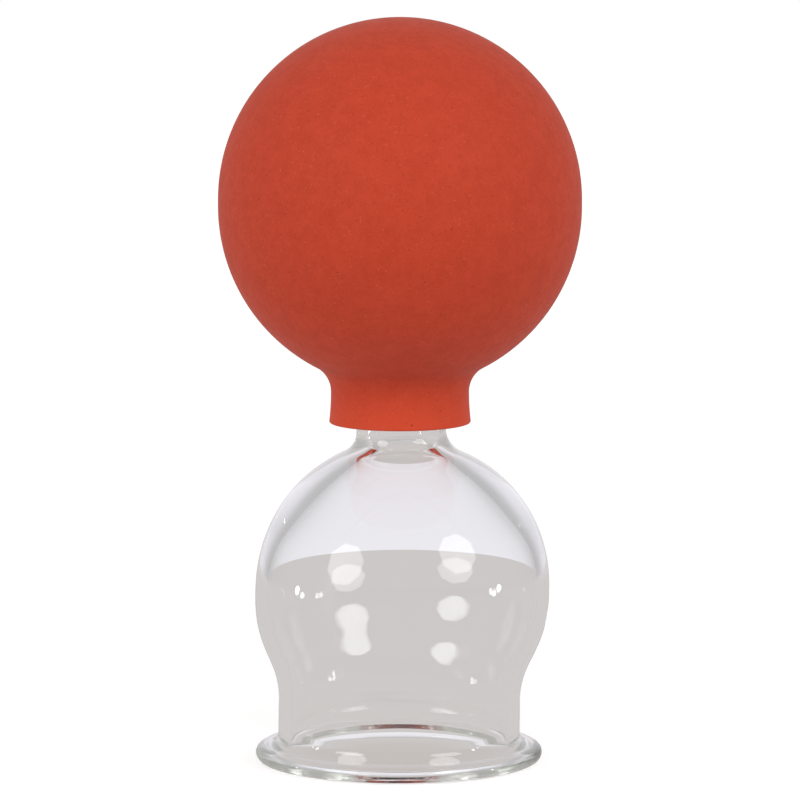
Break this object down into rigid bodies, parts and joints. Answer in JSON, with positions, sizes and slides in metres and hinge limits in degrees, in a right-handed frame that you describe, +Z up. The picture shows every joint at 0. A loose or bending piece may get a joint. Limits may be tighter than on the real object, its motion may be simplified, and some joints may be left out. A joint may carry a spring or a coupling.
{
  "type": "cupping glass",
  "caption": "Clear blown-glass cupping bell with a flared standing rim and a tapered neck, and a hollow red rubber squeeze bulb pushed onto the neck to draw suction.",
  "frame": {"origin": "centre of the rim's flat standing face, on the surface that the glass stands on", "axes": "+Z up along the axis of revolution, from the rim to the crown of the ball; X and Y are free"},
  "size_m": [0.0628, 0.0628, 0.1294],
  "materials": {
    "clear_glass": "fire-polished, clear",
    "red_rubber": "matt moulded rubber with a fine bloom"
  },
  "bodies": {
    "cup": {"glass_cup": "clear_glass"},
    "collar": {"bulb_collar": "red_rubber"},
    "ball": {"bulb_ball": "red_rubber"}
  },
  "joints": [
    {"name": "bulb_pull_off", "type": "slide", "parent": "cup", "child": "collar", "axis": [0, 0, 1], "range_m": [0, 0.025]},
    {"name": "bulb_squeeze", "type": "slide", "parent": "collar", "child": "ball", "axis": [0, 0, -1], "range_m": [0, 0.025], "stiffness_N_per_m": 1200, "deforming": ["bulb_ball"]}
  ]
}
